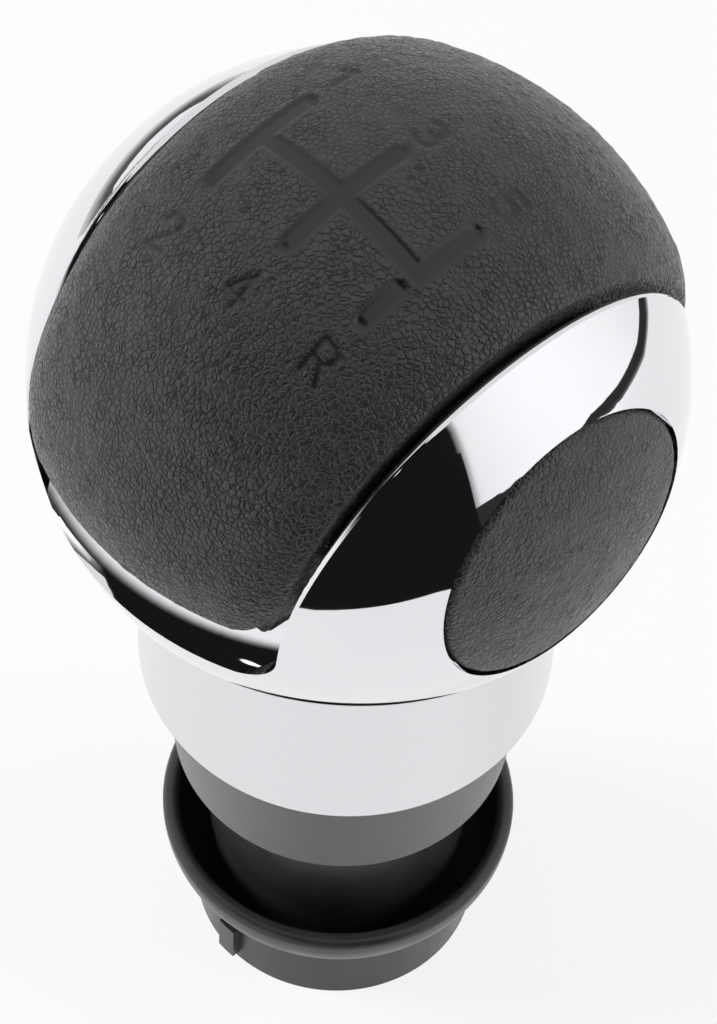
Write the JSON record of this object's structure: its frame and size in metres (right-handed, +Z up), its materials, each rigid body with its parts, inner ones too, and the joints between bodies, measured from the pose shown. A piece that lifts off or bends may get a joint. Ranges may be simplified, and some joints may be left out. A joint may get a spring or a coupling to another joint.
{
  "type": "gear shift knob",
  "caption": "Ball gear shift knob with a leather saddle, plated cage, leather side grips, satin collar, neck and gaiter cup on a lever socket.",
  "frame": {"origin": "centre of the foot's lower face, on the lever axis", "axes": "+Z up the lever, +Y to the front of the car, +X to its right"},
  "size_m": [0.0494, 0.052, 0.1019],
  "materials": {
    "leather": "black grained leather",
    "foam": "grey polyurethane foam",
    "carrier_plastic": "moulded ABS, as moulded",
    "plated_abs": "bright chrome plating on ABS",
    "screw_steel": "zinc-plated steel",
    "core_nylon": "black glass-filled nylon",
    "ballast_zinc": "die-cast zinc, as cast",
    "gasket_rubber": "black rubber",
    "satin_silver": "satin silver plating",
    "grey_plastic": "dark grey moulded polypropylene, satin",
    "black_plastic": "black moulded polypropylene, smooth",
    "spring_steel": "spring steel",
    "damper_rubber": "black rubber",
    "sleeve_steel": "turned steel"
  },
  "bodies": {
    "root": {"top_leather": "leather", "top_foam": "foam", "top_carrier": "carrier_plastic", "chrome_cage": "plated_abs", "right_grip_leather": "leather", "right_grip_foam": "foam", "right_grip_carrier": "carrier_plastic", "left_grip_leather": "leather", "left_grip_foam": "foam", "left_grip_carrier": "carrier_plastic", "cage_screws": "screw_steel", "knob_core": "core_nylon", "ballast_weight": "ballast_zinc", "seam_gasket": "gasket_rubber", "silver_collar": "satin_silver", "neck_sleeve": "grey_plastic", "gaiter_collar": "black_plastic", "retaining_ring": "spring_steel", "damper_sleeve": "damper_rubber", "lever_insert": "sleeve_steel", "lever_clip": "spring_steel"}
  },
  "joints": []
}
